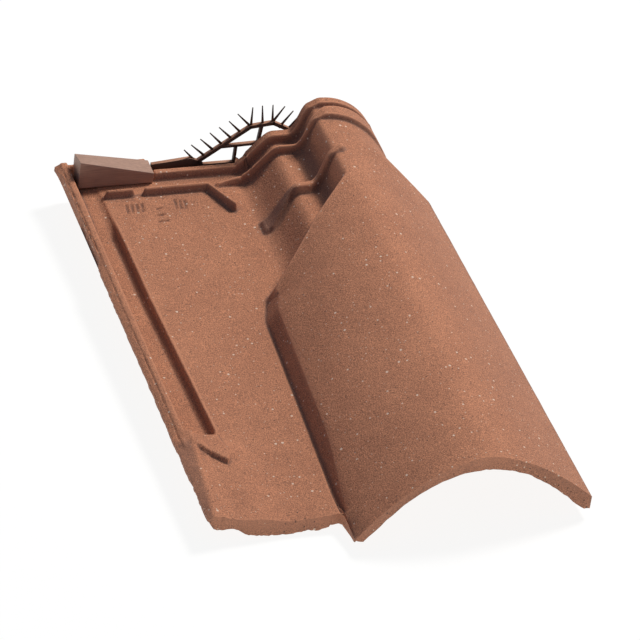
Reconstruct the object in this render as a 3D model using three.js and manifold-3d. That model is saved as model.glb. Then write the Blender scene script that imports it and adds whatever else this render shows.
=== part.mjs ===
// Roof vent tile: a pressed clay tile with a shallow pan, a tapering roll and a side interlock,
// a wedge-shaped spacer block at its head and a plastic vent comb with bird spikes behind the head rib.
//
// The tile is drawn flat, in millimetres: x runs from the interlock's outer edge to the right edge
// of the roll, y from the pan's lower end (the tail) to the head, and z = 0 is the pan's top.
// Two nibs under the head are deeper than the tail, so the whole tile is pitched at the end until
// nibs and tail stand on one level floor.

import * as THREE from "three";
import { mergeVertices } from "three/addons/utils/BufferGeometryUtils.js";
import Module from "manifold-3d";

const wasm = await Module();
wasm.setup();

// Driving dimensions of the tile
const tileWidth = 302;
const headEnd = 460;
const shelfEnd = 472;
const rollTail = -9;
const panTail = 18.6;
const clayThickness = 12;
const thinnest = 3.6;

// Side interlock: outer rim, channel and the slanted wall up to the pan
const rimOuterX = 0.9;
const rimOuterZ = 8.2;
const rimTopZ = 11.8;
const rimWidth = 11;
const channelFloorZ = -8;
const channelStart = 112;
const crestY = 119.5;
const crestRun = 9;
const wallRun = 5;
const wallAtHead = 32;
const wallTaper = 0.0265;
const channelHeadFloor = [
  [402, channelFloorZ],
  [428, -5],
  [446, -1.5],
];
const tailRimZ = 11.2;

// Roll: the tapering cover shape, its crown and its left wall on the pan
const coverFootAtTail = 105.3;
const coverTaperStart = 40;
const coverTaper = 0.0556;
const coverCornerSwing = 6.5;
const rollTipX = 107.6;
const crownAtTail = 209;
const crownDrift = 0.02;
const crownZAtTail = 55.5;
const crownRise = 0.0155;
const coverWallZ = 15;
const coverWallFade = 13;
const rightEdgeZ = 4.3;
const footBottomZ = -7.2;
const rightEdgeX = 301;
const leftFootZ = -6.5;
const hollowLeftAtTail = 120;
const hollowTaper = 0.0874;

// Shoulder where the cover shape ends on a diagonal and the narrower lap of the head begins
const shoulderX = 129;
const shoulderY = 271.5;
const shoulderSlant = 0.96;
const shoulderRun = 12;

// Lap of the head: lower flank, bench, upper flank and crown
const lapFootX = 158;
const benchLeftX = 180;
const benchRightX = 200;
const benchZ = 28;
const lapCrownLeftX = 216;
const lapCrownLeftZ = 57;
const lapCrownX = 221;
const lapCrownZ = 61;
const lapRightX = 288;

// Raised ribs of the head
const ribHeight = 8;
const panRibZ = 7.3;
const panRibFront = 432.2;
const panRibBack = 436.4;
const ribRootZ = -4;
const ribEdge = 1.2;
const crownRibHeight = 5;
const endLipZ = 9;

// Hanging nibs and the thick rib under the tail
const nibBottomZ = -26;
const nibY = 430;
const tailRibZ = -15.5;
const tailRibY = 24;

// Vent comb
const combY = 466;
const combThickness = 3.6;
const combBarWidth = 3.4;
const spikeRadius = 1.1;
const spikeRoot = 3.8;

// The plans of the two nibs, as their left and right x, and how far they reach along the tile
const nibSpans = [
  { left: 66, right: 108, top: -6 },
  { left: 272, right: 287, top: footBottomZ + 4 },
];
const nibFront = 6;
const nibBack = 7;

// Spacer block: its plan, its base and the heights of its top's corners
const block = { left: 15.5, right: 79.8, front: 449, back: 468, base: 0.6 };
const blockTop = { leftFront: 26.8, leftBack: 23, right: 10.2 };

const touchGap = 0.3;

const clamp01 = (t) => Math.min(1, Math.max(0, t));

const smooth = (low, high, value) => {
  const t = clamp01((value - low) / (high - low));
  return t * t * (3 - 2 * t);
};

const mix = (a, b, t) => a + (b - a) * t;

// Height on a polyline of [position, height] pairs, level beyond its ends.
const along = (points, position) => {
  if (position <= points[0][0]) return points[0][1];
  for (let i = 1; i < points.length; i++) {
    const [x0, z0] = points[i - 1];
    const [x1, z1] = points[i];
    if (position <= x1) {
      return mix(z0, z1, (position - x0) / (x1 - x0));
    }
  }
  return points[points.length - 1][1];
};

// Lines that run the length of the tile
const outerEdge = (y) => rimOuterX + 2.8 * smooth(329, 345, y) - 3.4 * smooth(454, 470, y);
const channelWallTop = (y) => wallAtHead + (401 - y) * wallTaper;
const coverFoot = (y) => {
  const straight = coverFootAtTail + coverTaper * Math.max(0, y - coverTaperStart);
  return straight + coverCornerSwing * smooth(246, 276, y);
};
const coverWallRun = (y) => 5.8 + 4.2 * smooth(10, 110, y) - 4 * smooth(246, 276, y);
const shoulderLine = (y) => {
  const wallTop = coverFoot(y) + coverWallRun(y);
  const slanted = shoulderX + (y - shoulderY) * shoulderSlant;
  return Math.min(lapCrownLeftX - 1, Math.max(wallTop, slanted));
};
const rollFoot = (y) => Math.min(Math.max(coverFoot(y), shoulderLine(y) - shoulderRun), lapFootX);
const crownX = (y) => Math.min(crownAtTail + crownDrift * y, lapCrownX);
const lapRightness = (y) => smooth(382, 412, y);
const rightEdge = (y) => mix(rightEdgeX, lapRightX, smooth(388, 418, y));

// Top of the side strip: rim, channel and wall in the middle of the tile, a plain ramp at the tail.
const sideTop = (x, y) => {
  const wall = channelWallTop(y);
  const floor = along(channelHeadFloor, y);
  const middle = along(
    [
      [rimOuterX, rimOuterZ],
      [4.8, 10.4],
      [6, rimTopZ],
      [rimWidth, rimTopZ],
      [13.5, floor + 4],
      [17, floor],
      [wall - wallRun, floor],
      [wall, 0],
    ],
    x,
  );
  const tail = along(
    [
      [rimOuterX, 9.9],
      [5, tailRimZ],
      [8, tailRimZ + 0.3],
      [18, 7.5],
      [26, 4.6],
      [42, 2.8],
    ],
    x,
  );
  return mix(tail, middle, clamp01((y - crestY) / crestRun));
};

// Top of the pan: a shallow dish between the channel wall and the roll.
const panTop = (x, y) => {
  const start = channelWallTop(y);
  const t = clamp01((x - start) / (rollFoot(y) - start));
  const dish = -2.4 * Math.sin(Math.PI * t) * (1 - smooth(400, 430, y));
  const tailRise = 2.8 * (1 - smooth(start, 68, x)) * (1 - smooth(channelStart - 14, channelStart + 12, y));
  return dish + tailRise;
};

const crownZ = (y) => Math.min(crownZAtTail + crownRise * Math.max(0, y), lapCrownZ);

// Top of the cover shape: a dome with a power-law fall to the wall on the left and the right edge.
const coverTop = (x, y) => {
  const crown = crownX(y);
  const top = crownZ(y);
  const wallZ = coverWallZ - coverWallFade * (1 - smooth(10, 110, y));
  if (x < crown) {
    const wallX = coverFoot(y) + coverWallRun(y);
    return top - (top - wallZ) * clamp01((crown - x) / (crown - wallX)) ** 1.72;
  }
  const t = clamp01((x - crown) / (rightEdge(y) - crown));
  const cover = top - (top - rightEdgeZ) * t ** 1.65;
  const lap = top - (top + 4) * t ** 2.4;
  return mix(cover, lap, lapRightness(y));
};

// Top of the lap's left side. A rib follows the same section, lifted by its own height.
const lapTop = (x, lift) =>
  along(
    [
      [lapFootX - 5 * lift, lift * panRibZ],
      [benchLeftX - 1.5 * lift, benchZ + lift * ribHeight],
      [benchRightX, benchZ + lift * ribHeight],
      [lapCrownLeftX - 9 * lift, lapCrownLeftZ + 3 * lift],
      [lapCrownX - 2 * lift, lapCrownZ + 5 * lift],
    ],
    x,
  );

const topHeight = (x, y) => {
  if (x < channelWallTop(y)) return sideTop(x, y);
  if (x >= crownX(y)) return coverTop(x, y);
  const base = x < lapFootX ? panTop(x, y) : lapTop(x, 0);
  const shoulder = shoulderLine(y);
  const rampStart = Math.max(rollFoot(y), shoulder - shoulderRun);
  const t = clamp01((x - rampStart) / (shoulder - rampStart));
  const body = x < shoulder ? coverTop(shoulder, y) : coverTop(x, y);
  return mix(base, body, y > shoulderY ? smooth(0, 1, t) : t);
};

// Underside of the pan and the interlock, with the thick rib under the tail.
const panBottom = (x, y) => {
  const middle = along(
    [
      [rimOuterX, 5],
      [13, -16],
      [36, -16],
      [44, -clayThickness],
    ],
    x,
  );
  const tail = along(
    [
      [rimOuterX, 7],
      [6, -2.2],
      [13, -4.4],
      [18, -3.9],
      [26, -5.5],
      [34, -clayThickness],
    ],
    x,
  );
  const rib = along(
    [
      [27, 10],
      [28.5, -6.8],
      [37.5, -12.4],
      [47, tailRibZ + 0.8],
      [55, tailRibZ],
      [91, tailRibZ + 0.6],
      [101, -clayThickness],
    ],
    x,
  );
  const plain = mix(tail, middle, smooth(channelStart - 10, channelStart + 20, y));
  return mix(Math.min(plain, rib), plain, smooth(34, 50, y));
};

// Hollow under the roll: a rounded barrel below the cover shape, a narrower one below the lap.
const hollowTop = (x, y) => {
  const crown = crownX(y);
  const ceiling = crownZ(y) - clayThickness - 0.5;
  const floor = mix(leftFootZ, -clayThickness, smooth(10, 22, y));
  const left = hollowLeftAtTail + hollowTaper * (y - panTail);
  const t = clamp01(x < crown ? (crown - x) / (crown - left) : 0);
  const barrel = floor + (ceiling - floor) * (1 - t ** 2.2);
  const lap = along(
    [
      [168, floor],
      [191, 14],
      [207, 15],
      [224, 43],
      [229, ceiling],
    ],
    x,
  );
  const wide = smooth(shoulderLine(y) + 4, shoulderLine(y) + 26, x);
  const leftSide = y < shoulderY - 20 ? barrel : mix(lap, barrel, wide);
  if (x < crown) return leftSide;
  const right = rightEdge(y) - 7;
  const fall = clamp01((x - crown) / (right - crown)) ** mix(1.85, 2.3, lapRightness(y));
  return Math.min(mix(barrel, lap, smooth(360, 400, y)), ceiling - (ceiling - footBottomZ) * fall);
};

const bottomHeight = (x, y) => {
  const pan = x < crownX(y) ? panBottom(x, y) : footBottomZ;
  const hollow = hollowTop(x, y);
  const under = x < lapFootX - 60 ? pan : Math.max(pan, hollow);
  return Math.min(under, topHeight(x, y) - thinnest);
};

// The mesh's lines along the tile, each a function of y, with the divisions up to the next one
const stationLines = [
  [outerEdge, 1],
  [() => 4.8, 1],
  [() => 6, 1],
  [() => rimWidth, 1],
  [() => 13.5, 1],
  [() => 17, 1],
  [(y) => channelWallTop(y) - wallRun, 1],
  [channelWallTop, 1],
  [(y) => channelWallTop(y) + 10, 6],
  [rollFoot, 2],
  [(y) => Math.min(benchLeftX, mix(rollFoot(y), shoulderLine(y), 0.5)), 2],
  [(y) => Math.min(benchRightX, mix(rollFoot(y), shoulderLine(y), 0.75)), 2],
  [shoulderLine, 7],
  [crownX, 9],
  [rightEdge, 0],
];

const rowYs = [
  -14, -6, 2, 10, 20, 32, 44, 56, 70, 82, 92, 102, 111, crestY, crestY + crestRun, 145, 170, 195, 220, 244,
  252, 260, 268, 278, 288,
  298, 308, 318, 328, 338, 348, 358, 368, 380, 392, 399, 406, 414, 426, 438, 450, 461, 474,
];

// A closed solid from a geometry whose corners are shared.
const solidOf = (geometry) => {
  const bare = geometry.clone();
  bare.deleteAttribute("normal");
  bare.deleteAttribute("uv");
  const merged = mergeVertices(bare, 1e-4);
  return new wasm.Manifold(
    new wasm.Mesh({
      numProp: 3,
      vertProperties: new Float32Array(merged.attributes.position.array),
      triVerts: new Uint32Array(merged.index.array),
    }),
  );
};

const geometryOf = (solid) => {
  const mesh = solid.getMesh();
  const geometry = new THREE.BufferGeometry();
  const positions = new Float32Array(mesh.numVert * 3);
  for (let i = 0; i < mesh.numVert; i++) {
    for (let axis = 0; axis < 3; axis++) {
      positions[3 * i + axis] = mesh.vertProperties[i * mesh.numProp + axis];
    }
  }
  geometry.setAttribute("position", new THREE.BufferAttribute(positions, 3));
  geometry.setIndex([...mesh.triVerts]);
  geometry.computeVertexNormals();
  return geometry;
};

// A closed slab on a grid: place(u, v, upper) gives the corner at columns u and rows v of a box.
const slabSolid = (columns, rows, place) => {
  const box = new THREE.BoxGeometry(columns, rows, 1, columns, rows, 1);
  const position = box.attributes.position;
  for (let i = 0; i < position.count; i++) {
    const column = Math.round(position.getX(i) + columns / 2);
    const row = Math.round(position.getY(i) + rows / 2);
    const corner = place(column, row, position.getZ(i) > 0);
    position.setXYZ(i, corner[0], corner[1], corner[2]);
  }
  return solidOf(box);
};

// The x of every mesh column at a given y.
const columnXs = (y) => {
  const xs = [];
  stationLines.forEach(([line, divisions], index) => {
    const x0 = line(y);
    const x1 = index + 1 < stationLines.length ? stationLines[index + 1][0](y) : x0;
    for (let i = 0; i < divisions; i++) {
      xs.push(mix(x0, x1, i / divisions));
    }
  });
  xs.push(stationLines[stationLines.length - 1][0](y));
  return xs;
};

const shell = () => {
  const grid = rowYs.map(columnXs);
  return slabSolid(grid[0].length - 1, rowYs.length - 1, (column, row, upper) => {
    const y = rowYs[row];
    const x = grid[row][column];
    return [x, y, upper ? topHeight(x, y) : bottomHeight(x, y)];
  });
};

// A solid standing on a plan outline, between two heights.
const planSolid = (outline, low, high, bevel = 0) => {
  const geometry = new THREE.ExtrudeGeometry(outline, {
    depth: high - low - 2 * bevel,
    bevelEnabled: bevel > 0,
    bevelThickness: bevel,
    bevelSize: bevel,
    bevelOffset: -bevel,
    bevelSegments: 1,
    curveSegments: 8,
  });
  geometry.translate(0, 0, low + bevel);
  return solidOf(geometry);
};

const outlineOf = (points) => new THREE.Shape(points.map(([x, y]) => new THREE.Vector2(x, y)));

// Everything in front of the pan's tail and of the roll's end, whose left foot reaches further out.
const tailCut = () => {
  const outline = new THREE.Shape();
  const foot = rollTipX;
  outline.moveTo(-20, -40);
  outline.lineTo(-20, panTail);
  outline.lineTo(foot, panTail);
  outline.lineTo(foot + 1.2, -3);
  outline.quadraticCurveTo(foot + 2, rollTail + 0.5, foot + 9.7, rollTail);
  outline.quadraticCurveTo(foot + 47, -1, 208, 0);
  outline.lineTo(tileWidth + 20, 0);
  outline.lineTo(tileWidth + 20, -40);
  return planSolid(outline, -60, 120);
};

// Everything behind the head: the roll stops at the head rib, the pan runs on as a low shelf.
const headCut = () => {
  const outline = outlineOf([
    [lapFootX + 2, headEnd],
    [tileWidth + 20, headEnd],
    [tileWidth + 20, 520],
    [-20, 520],
    [-20, shelfEnd],
    [lapFootX + 2, shelfEnd],
  ]);
  return planSolid(outline, -60, 120);
};

// The low rib on the pan, with a drain notch, bent down beside the roll.
const panRib = () => {
  const left = outlineOf([
    [channelWallTop(panRibFront) - 2, panRibFront],
    [60.5, panRibFront],
    [59.3, panRibBack],
    [30, panRibBack],
  ]);
  const right = outlineOf([
    [66.5, panRibFront],
    [121, panRibFront],
    [135.8, 402.6],
    [138.9, 402.4],
    [139.7, 404.8],
    [124.4, panRibBack],
    [67.7, panRibBack],
  ]);
  return planSolid(left, ribRootZ, panRibZ, ribEdge).add(planSolid(right, ribRootZ, panRibZ, ribEdge));
};

// The x of the corners of a rib's section across the lap and the crown
const ribMarks = [
  lapFootX - 5, 164, 171, benchLeftX - 1.5, 189, benchRightX, 204.5, lapCrownLeftX - 9, 214, lapCrownX - 2,
  224, 230, 238, 247, 256, 264, 272, 279,
];

// A rib across the roll's side and crown, between two lines of y given as functions of x.
const rollRib = (startX, endX, frontY, backY, lift) => {
  const xs = [startX, ...ribMarks.filter((x) => x > startX && x < endX), endX];
  const ribTop = (x) => {
    if (x < lapFootX - 5) return panRibZ;
    if (x < lapCrownX - 2) return lapTop(x, lift);
    return coverTop(x, headEnd) + crownRibHeight * lift * (1 - smooth(256, 286, x));
  };
  return slabSolid(xs.length - 1, 3, (column, row, upper) => {
    const x = xs[column];
    const y = [frontY(x), frontY(x) + ribEdge, backY(x) - ribEdge, backY(x)][row];
    const edge = row === 0 || row === 3 ? ribEdge : 0;
    return [x, y, upper ? ribTop(x) - edge : Math.min(ribTop(x), topHeight(x, 445)) - 5];
  });
};

const headRib = () => rollRib(block.right + 0.7, 286, () => 452, () => headEnd, 1);

const secondRib = () => {
  const front = (x) => 436 - 4 * smooth(215, 260, x);
  const back = (x) => 441 + 9 * smooth(198, 226, x);
  return rollRib(131, 284, front, back, 0.95);
};

// The third rib widens to a blunt end on the pan.
const thirdRibFront = [
  [152, 366],
  [159.5, 366.5],
  [176, 379.5],
  [192, 380],
  [204, 386],
  [222, 390],
];
const thirdRibBack = [
  [151, 381.5],
  [174, 386.5],
  [192, 388],
  [204, 394],
  [222, 397],
];

const thirdRib = () => {
  const front = (x) => along(thirdRibFront, x);
  const back = (x) => along(thirdRibBack, x);
  return rollRib(152, 221, front, back, 1);
};

// The wedge at the channel's end: its steep side faces the tail, its back leans down to the channel.
const channelWedge = () => {
  const corners = [
    [[15.5, 103, 10.8], [36.5, 83.5, 7.5], [62, 97, -1]],
    [[18, 118, 7], [40, crestY, 2.6], [66, 104, -1.6]],
  ];
  return slabSolid(2, 1, (column, row, upper) => {
    const [x, y, z] = corners[row][column];
    return [x, y, upper ? z : ribRootZ];
  });
};

// The low lip that closes the shelf behind the spacer block.
const endLip = () => {
  const outline = outlineOf([
    [rimWidth - 3, block.back + 0.6],
    [block.right - 2, block.back + 0.6],
    [block.right - 2, shelfEnd],
    [rimWidth - 3, shelfEnd],
  ]);
  return planSolid(outline, ribRootZ, endLipZ, 0.8);
};

const nib = ({ left, right, top }) => {
  const outline = outlineOf([
    [left, nibY - nibFront],
    [right, nibY - nibFront],
    [right - 2, nibY + nibBack],
    [left + 2, nibY + nibBack],
  ]);
  return planSolid(outline, nibBottomZ, top, 1.2);
};

const tileBody = () => {
  const raised = [panRib(), headRib(), secondRib(), thirdRib(), channelWedge(), endLip()];
  const pressed = raised.reduce((body, rib) => body.add(rib), shell());
  const trimmed = pressed.subtract(tailCut()).subtract(headCut());
  return nibSpans.map(nib).reduce((body, hook) => body.add(hook), trimmed);
};

// The wedge that stands in the corner between the rim and the end of the head rib.
const spacerBlock = () =>
  slabSolid(1, 1, (column, row, upper) => {
    const x = column ? block.right : block.left;
    const y = row ? block.back : block.front;
    const leftTop = row ? blockTop.leftBack : blockTop.leftFront;
    const top = column ? blockTop.right : leftTop;
    return [x, y, upper ? top : block.base];
  });

// Corners of the comb in its own plane, as x and z
const combBase = [
  [82, touchGap],
  [82, 8],
  [116, 11.4],
  [127, 5.6],
  [127, touchGap],
];
const rampFoot = [122.6, 6.8];
const rampTop = [165.3, 37.7];
const crownEnd = [185, 39.8];
const slopeEnd = [209, 26.6];
const midRailZ = 20.5;

// The comb's bars: two ends and a width
const combBars = [
  [rampFoot, rampTop, combBarWidth],
  [rampTop, crownEnd, combBarWidth],
  [crownEnd, slopeEnd, combBarWidth],
  [[126, 2.3], [155.5, 2.3], combBarWidth],
  [[142.5, midRailZ - 0.7], [206, midRailZ + 1], 2.6],
  [[206, midRailZ + 1], slopeEnd, 2.6],
  [[154.2, 3], [154.6, midRailZ], 2.4],
  [[173.5, midRailZ], [175, 37], 2.6],
];

// The comb's spikes, root and tip of each: up the ramp, on the crown and down the slope
const combSpikes = [
  [[117.9, 9.7], [109.7, 19]],
  [[126.4, 13.1], [115.4, 23.5]],
  [[133.4, 18.4], [122.8, 28.7]],
  [[140.4, 23.7], [130.5, 34.2]],
  [[148.2, 28.8], [138, 39.1]],
  [[155.9, 34], [146, 44.5]],
  [[164.1, 39.2], [152.9, 51.1]],
  [[165.7, 39.9], [165.3, 56.7]],
  [[175.6, 40.6], [173.6, 57.6]],
  [[184.2, 41.5], [182.8, 57.6]],
  [[185.6, 42.3], [193.5, 55.3]],
  [[192.8, 37.4], [201.5, 50.1]],
  [[199.9, 33.5], [207.3, 44.5]],
];

// A flat bar of the comb between two points of its plane.
const combBar = ([[x0, z0], [x1, z1], width]) => {
  const length = Math.hypot(x1 - x0, z1 - z0);
  const bar = new THREE.BoxGeometry(length + width * 0.6, combThickness, width);
  bar.rotateY(-Math.atan2(z1 - z0, x1 - x0));
  bar.translate((x0 + x1) / 2, combY, (z0 + z1) / 2);
  return solidOf(bar);
};

const combSpike = ([[x0, z0], [x1, z1]]) => {
  const length = Math.hypot(x1 - x0, z1 - z0) + spikeRoot;
  const spike = new THREE.CylinderGeometry(spikeRadius * 0.25, spikeRadius, length, 6);
  spike.translate(0, length / 2 - spikeRoot, 0);
  spike.rotateX(Math.PI / 2);
  spike.rotateY(Math.atan2(x1 - x0, z1 - z0));
  spike.translate(x0, combY, z0);
  return solidOf(spike);
};

const ventComb = () => {
  const plate = new THREE.ExtrudeGeometry(outlineOf(combBase), { depth: combThickness, bevelEnabled: false });
  plate.rotateX(Math.PI / 2);
  plate.translate(0, combY + combThickness / 2, 0);
  const pieces = [...combBars.map(combBar), ...combSpikes.map(combSpike)];
  return pieces.reduce((comb, piece) => comb.add(piece), solidOf(plate));
};

const clay = (colour) => new THREE.MeshStandardMaterial({ color: colour, roughness: 0.85, metalness: 0 });
const darkPlastic = new THREE.MeshStandardMaterial({ color: 0x45322b, roughness: 0.5, metalness: 0 });

const named = (name, solid, material) => {
  const mesh = new THREE.Mesh(geometryOf(solid), material);
  mesh.name = name;
  return mesh;
};

// The tile and its two small parts, pitched about x until tail rib and nibs stand level.
const drawn = new THREE.Group();
drawn.add(named("tile_body", tileBody(), clay(0xb0785e)));
drawn.add(named("spacer_block", spacerBlock(), clay(0xa9755e)));
drawn.add(named("vent_comb", ventComb(), darkPlastic));
drawn.rotation.x = Math.atan((tailRibZ - nibBottomZ) / (nibY - tailRibY));

// The origin is the middle of the footprint, at floor level.
const roofVentTile = new THREE.Group();
roofVentTile.add(drawn);
roofVentTile.updateMatrixWorld(true);
const extent = new THREE.Box3().setFromObject(roofVentTile, true);
drawn.position.set(-(extent.min.x + extent.max.x) / 2, -(extent.min.y + extent.max.y) / 2, -extent.min.z);

export default roofVentTile;
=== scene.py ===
"""Roof vent tile: a fired clay tile with a shallow pan, a tapering roll and a side interlock.

The clay is one pressed body on a fine mesh, shaped by the same named sizes as the part's solids.
Behind its head rib stand a wedge-shaped spacer block and a comb of bird spikes, both brown plastic.
Sizes are in millimetres in the tile's own flat drawing; RowFrame pitches and scales them to metres.
"""

import logging
import math
from collections.abc import Sequence
from dataclasses import dataclass, field
from enum import Enum

import bmesh
import bpy
import numpy as np
from mathutils import Euler, Matrix, Vector, noise


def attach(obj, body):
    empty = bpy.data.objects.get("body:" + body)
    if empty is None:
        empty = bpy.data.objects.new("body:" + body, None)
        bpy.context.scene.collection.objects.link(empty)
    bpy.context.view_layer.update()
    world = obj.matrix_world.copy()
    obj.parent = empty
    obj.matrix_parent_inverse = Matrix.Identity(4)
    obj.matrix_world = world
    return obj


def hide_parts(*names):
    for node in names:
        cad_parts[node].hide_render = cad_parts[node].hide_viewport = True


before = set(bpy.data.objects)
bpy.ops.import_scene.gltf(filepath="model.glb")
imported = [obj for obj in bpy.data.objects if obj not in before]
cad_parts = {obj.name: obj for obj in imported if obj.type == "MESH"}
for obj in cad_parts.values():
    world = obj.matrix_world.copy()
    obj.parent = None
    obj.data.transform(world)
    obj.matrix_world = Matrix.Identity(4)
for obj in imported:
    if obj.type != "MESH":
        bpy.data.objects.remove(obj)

log = logging.getLogger("roof_vent_tile")

Array = np.ndarray
Socket = bpy.types.NodeSocket
Colour = tuple[float, float, float]
Point = tuple[float, float]
Span = tuple[float, float]
Window = tuple[float, float, float, float]


# ---------------------------------------------------------------------------
# Small helpers
# ---------------------------------------------------------------------------


def smooth(low: float, high: float, value: Array) -> Array:
    """Ease from 0 at low to 1 at high.

    Args:
        low: Where the ease begins.
        high: Where the ease ends.
        value: Positions to ease.

    Returns:
        The eased share at each position.
    """
    t = np.clip((value - low) / (high - low), 0.0, 1.0)
    return t * t * (3.0 - 2.0 * t)


def mix(a: Array, b: Array, t: Array) -> Array:
    """Return the blend of a and b at share t."""
    return a + (b - a) * t


def window(stops: Window, value: Array) -> Array:
    """Return 1 between an eased rise and an eased fall, 0 outside."""
    return smooth(*stops[:2], value) * (1.0 - smooth(*stops[2:], value))


def hump(centre: Array, width: float, value: Array) -> Array:
    """Return a round hump of height 1 about the centre."""
    return np.exp(-(((value - centre) / width) ** 2))


def distance(start: Point, end: Point, x: Array, y: Array) -> Array:
    """Measure how far each point of the plan lies from a straight line between two points.

    Args:
        start: One end of the line.
        end: The other end.
        x: Positions across the tile.
        y: Positions along the tile.

    Returns:
        The distance at each point.
    """
    (x0, y0), (x1, y1) = start, end
    dx, dy = x1 - x0, y1 - y0
    t = np.clip(((x - x0) * dx + (y - y0) * dy) / (dx * dx + dy * dy), 0.0, 1.0)
    return np.hypot(x - x0 - t * dx, y - y0 - t * dy)


def along(points: Sequence[Point], position: Array) -> Array:
    """Height on a polyline, level beyond its ends.

    Args:
        points: Position and height of each corner; either may be an array over the tile.
        position: Where to read the height.

    Returns:
        The height at each position.
    """
    height = points[0][1] + np.zeros_like(position)
    for (x0, z0), (x1, z1) in zip(points, points[1:]):
        height = height + (z1 - z0) * np.clip((position - x0) / (x1 - x0), 0.0, 1.0)
    return height


def eased(corners: Sequence[Point], radii: tuple[float, ...], position: Array) -> Array:
    """Height that rounds a polyline's corners.

    Args:
        corners: Position and height of each corner; level beyond the ends.
        radii: How far each corner's rounding reaches.
        position: Where to read the height.

    Returns:
        What to add to the polyline's height.
    """
    slopes = [(z1 - z0) / (x1 - x0) for (x0, z0), (x1, z1) in zip(corners, corners[1:])]
    bends = np.diff([0.0, *slopes, 0.0])
    height = np.zeros_like(position)
    for (x, _), bend, reach in zip(corners, bends, radii):
        height = height + bend * np.clip(reach - np.abs(position - x), 0.0, None) ** 2 / (4 * reach)
    return height


def spaced(marks: list[tuple[float, float]], end: float) -> Array:
    """Positions from mark to mark, each stretch with its own greatest step.

    Args:
        marks: Start of each stretch and its greatest step.
        end: Where the last stretch ends.

    Returns:
        All positions, first and last included.
    """
    stops = [start for start, _ in marks] + [end]
    pieces = []
    for (start, step), stop in zip(marks, stops[1:]):
        count = max(1, math.ceil((stop - start) / step - 1e-6))
        pieces.append(np.linspace(start, stop, count, endpoint=False))
    return np.append(np.concatenate(pieces), end)


@dataclass(frozen=True)
class RowFrame:
    """Takes the tile's flat drawing to the row frame: pitched until nibs and tail rib stand level."""

    tail_rib_z: float = -15.5
    tail_rib_y: float = 24.0
    nib_bottom_z: float = -26.0
    nib_y: float = 430.0
    shift: tuple[float, float, float] = (-150.80516, -231.53210, 15.00089)

    @property
    def matrix(self) -> Matrix:
        """Return the matrix from drawn millimetres to row metres."""
        pitch = math.atan((self.tail_rib_z - self.nib_bottom_z) / (self.nib_y - self.tail_rib_y))
        turned = Matrix.Translation(Vector(self.shift)) @ Matrix.Rotation(pitch, 4, "X")
        return Matrix.Scale(0.001, 4) @ turned


# ---------------------------------------------------------------------------
# The tile's form
# ---------------------------------------------------------------------------


@dataclass(frozen=True)
class Stroke:
    """A shallow groove or ridge between two points of the plan."""

    start: Point
    end: Point
    half_width: float
    depth: float

    def field(self, x: Array, y: Array) -> Array:
        """Return the height that the stroke takes from the surface at each point."""
        away = distance(self.start, self.end, x, y)
        return self.depth * (1.0 - smooth(self.half_width * 0.35, self.half_width, away))


@dataclass(frozen=True)
class StrokeRow:
    """A row of plain strokes, each one step on from the last; odd ones may start a little further on."""

    start: Point
    end: Point
    start_step: Point
    end_step: Point
    count: int
    depth: float
    stagger: float = 0.0
    half_width: float = 1.2

    def strokes(self) -> list[Stroke]:
        """Return the row's strokes."""
        return [self.stroke(i) for i in range(self.count)]

    def stroke(self, i: int) -> Stroke:
        """Return the stroke with number i."""
        shift = i % 2 * self.stagger
        start = (self.start[0] + i * self.start_step[0], self.start[1] + i * self.start_step[1] + shift)
        end = (self.end[0] + i * self.end_step[0], self.end[1] + i * self.end_step[1])
        return Stroke(start, end, self.half_width, self.depth)


@dataclass(frozen=True)
class Ease:
    """A value that eases by a change between two positions."""

    start: float
    change: float
    low: float
    high: float

    def at(self, position: Array) -> Array:
        """Return the value at each position."""
        return self.start + self.change * smooth(self.low, self.high, position)


@dataclass(frozen=True)
class Outline:
    """A value that follows a polyline, level beyond its ends."""

    points: tuple[Point, ...]

    def at(self, position: Array) -> Array:
        """Return the value at each position."""
        return along(self.points, position)


@dataclass(frozen=True)
class HeadRib:
    """A rib across the head: its reach, its two edges along the tile, its lift and its strength."""

    left: float
    right: float
    front: Ease | Outline
    back: Ease | Outline
    lift: float = 1.0
    strength: Ease = Ease(1.0, 0.0, 0.0, 1.0)


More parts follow.
